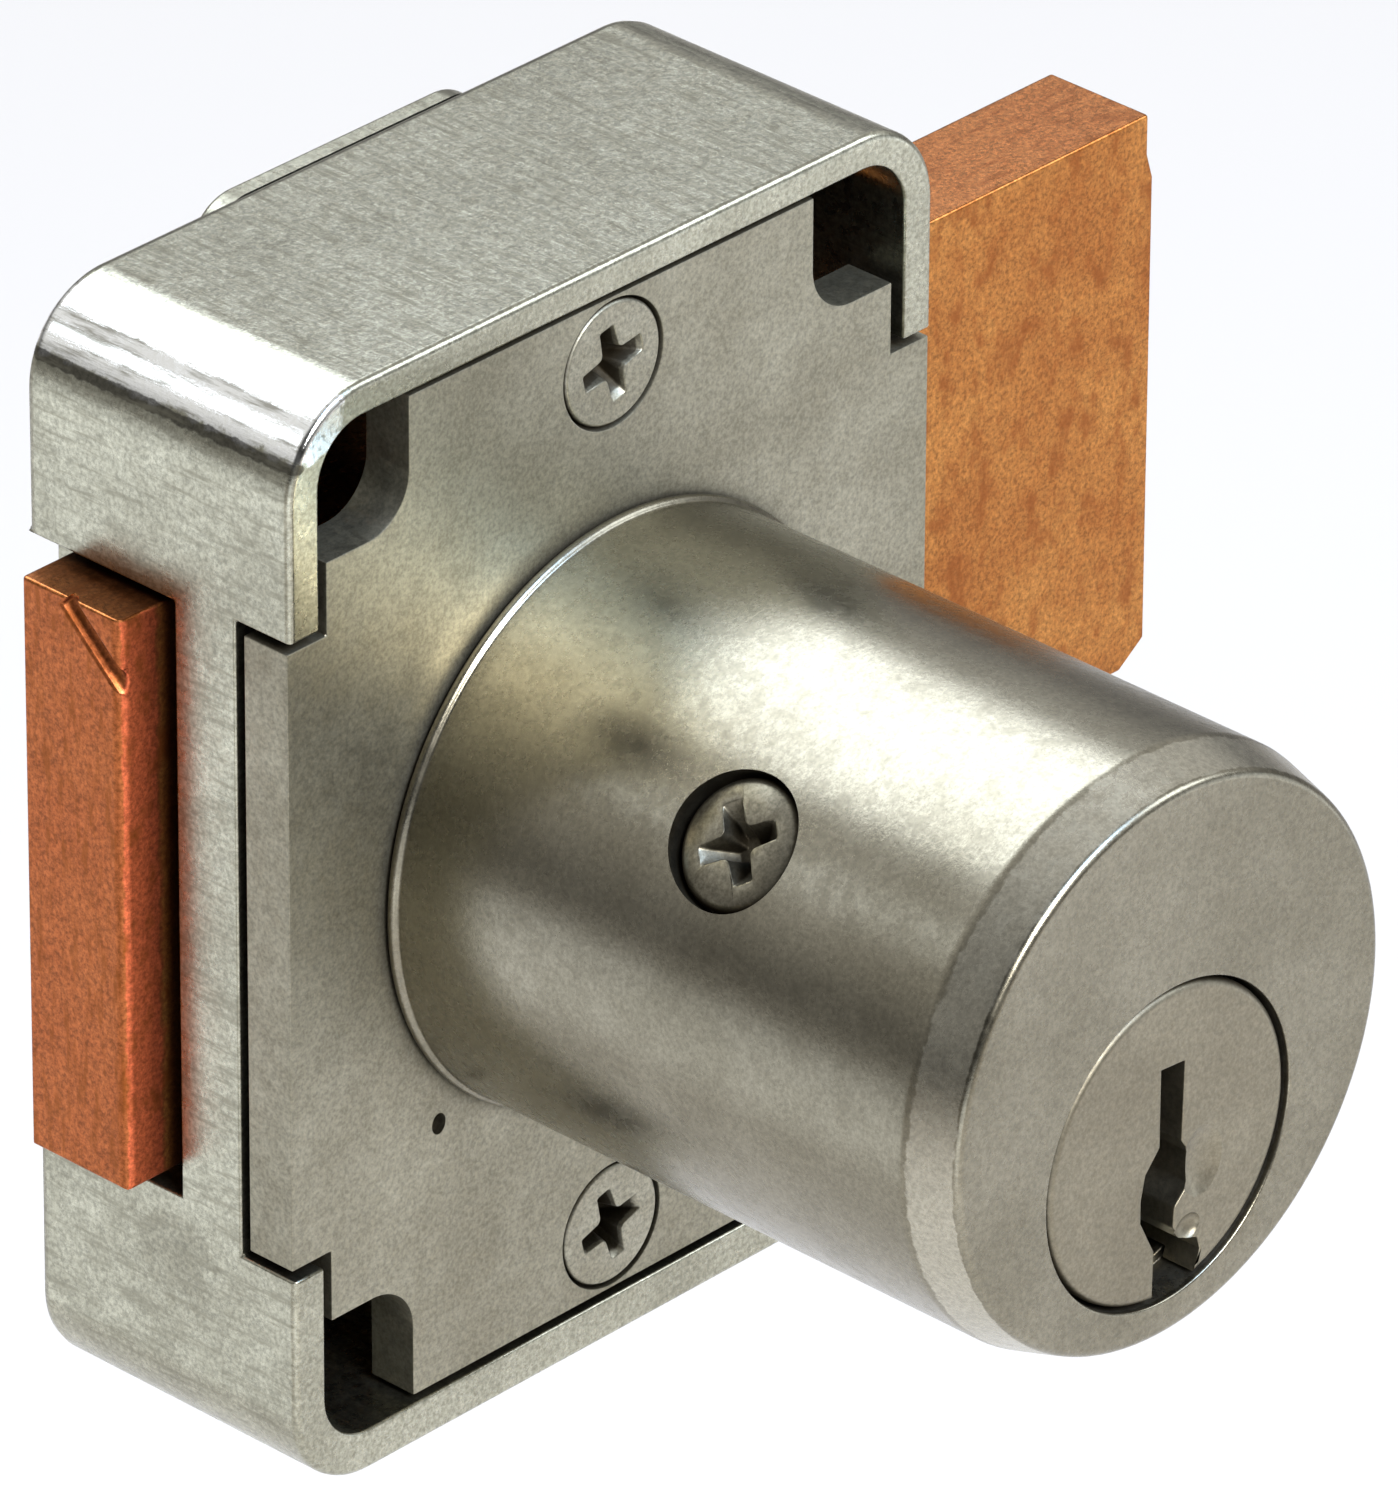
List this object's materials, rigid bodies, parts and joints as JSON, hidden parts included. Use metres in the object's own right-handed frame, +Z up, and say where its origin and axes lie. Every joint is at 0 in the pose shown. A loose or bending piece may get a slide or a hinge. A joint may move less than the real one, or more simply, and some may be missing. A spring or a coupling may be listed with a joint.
{
  "type": "cabinet deadbolt cylinder lock",
  "caption": "Surface-mounted cabinet lock: a round keyed cylinder on a flat rectangular case, whose crank slides a flat bolt out of the case's side.",
  "frame": {"origin": "on the cylinder's axis, in the plane where the case meets the door", "axes": "+X the way the bolt throws, -Y out of the cylinder's nose towards the key, +Z up"},
  "size_m": [0.0522, 0.0396, 0.0428],
  "materials": {
    "case_nickel": "satin nickel plate with fine brushing on the outer walls",
    "plate_nickel": "satin nickel plate over a fine grained surface",
    "cylinder_nickel": "satin nickel plate, soft sheen",
    "plug_nickel": "brass plug plated satin nickel",
    "screw_nickel": "dull nickel plated steel",
    "bolt_bronze": "bare bronze, fine ground",
    "brass": "bare brass, turned",
    "steel": "zinc plated",
    "spring_steel": "drawn wire"
  },
  "bodies": {
    "lock_body": {"case": "case_nickel", "front_plate": "plate_nickel", "cylinder_housing": "cylinder_nickel", "plate_screw_top": "screw_nickel", "plate_screw_bottom": "screw_nickel", "plate_post_top": "steel", "plate_post_bottom": "steel", "cylinder_side_screw": "screw_nickel", "pin_spring_1": "spring_steel", "pin_spring_2": "spring_steel", "pin_spring_3": "spring_steel", "pin_spring_4": "spring_steel", "pin_spring_5": "spring_steel"},
    "plug": {"plug": "plug_nickel", "cam": "steel", "cam_pin": "steel", "cam_screw": "steel"},
    "bolt": {"bolt": "bolt_bronze"},
    "key_pin_1": {"key_pin_1": "brass"},
    "driver_pin_1": {"driver_pin_1": "brass"},
    "key_pin_2": {"key_pin_2": "brass"},
    "driver_pin_2": {"driver_pin_2": "brass"},
    "key_pin_3": {"key_pin_3": "brass"},
    "driver_pin_3": {"driver_pin_3": "brass"},
    "key_pin_4": {"key_pin_4": "brass"},
    "driver_pin_4": {"driver_pin_4": "brass"},
    "key_pin_5": {"key_pin_5": "brass"},
    "driver_pin_5": {"driver_pin_5": "brass"}
  },
  "joints": [
    {"name": "plug_turn", "type": "hinge", "parent": "lock_body", "child": "plug", "pos_m": [0, 0, -0.00312], "axis": [0, -1, 0], "range_deg": [0, 180]},
    {"name": "bolt_slide", "type": "slide", "parent": "lock_body", "child": "bolt", "axis": [-1, 0, 0], "range_m": [0, 0.0127]},
    {"name": "key_pin_1_drop", "type": "slide", "parent": "plug", "child": "key_pin_1", "axis": [0, 0, -1], "range_m": [0, 0.00325]},
    {"name": "driver_pin_1_lift", "type": "slide", "parent": "lock_body", "child": "driver_pin_1", "axis": [0, 0, 1], "range_m": [0, 0.0018], "stiffness_N_per_m": 80, "springref_m": -0.003, "deforming": ["pin_spring_1"]},
    {"name": "key_pin_2_drop", "type": "slide", "parent": "plug", "child": "key_pin_2", "axis": [0, 0, -1], "range_m": [0, 0.00205]},
    {"name": "driver_pin_2_lift", "type": "slide", "parent": "lock_body", "child": "driver_pin_2", "axis": [0, 0, 1], "range_m": [0, 0.0018], "stiffness_N_per_m": 80, "springref_m": -0.003, "deforming": ["pin_spring_2"]},
    {"name": "key_pin_3_drop", "type": "slide", "parent": "plug", "child": "key_pin_3", "axis": [0, 0, -1], "range_m": [0, 0.00265]},
    {"name": "driver_pin_3_lift", "type": "slide", "parent": "lock_body", "child": "driver_pin_3", "axis": [0, 0, 1], "range_m": [0, 0.0018], "stiffness_N_per_m": 80, "springref_m": -0.003, "deforming": ["pin_spring_3"]},
    {"name": "key_pin_4_drop", "type": "slide", "parent": "plug", "child": "key_pin_4", "axis": [0, 0, -1], "range_m": [0, 0.00165]},
    {"name": "driver_pin_4_lift", "type": "slide", "parent": "lock_body", "child": "driver_pin_4", "axis": [0, 0, 1], "range_m": [0, 0.0018], "stiffness_N_per_m": 80, "springref_m": -0.003, "deforming": ["pin_spring_4"]},
    {"name": "key_pin_5_drop", "type": "slide", "parent": "plug", "child": "key_pin_5", "axis": [0, 0, -1], "range_m": [0, 0.00295]},
    {"name": "driver_pin_5_lift", "type": "slide", "parent": "lock_body", "child": "driver_pin_5", "axis": [0, 0, 1], "range_m": [0, 0.0018], "stiffness_N_per_m": 80, "springref_m": -0.003, "deforming": ["pin_spring_5"]}
  ],
  "couplings": [
    {"joint": "plug_turn", "follows": "bolt_slide", "rad_per_m": 247.3}
  ]
}
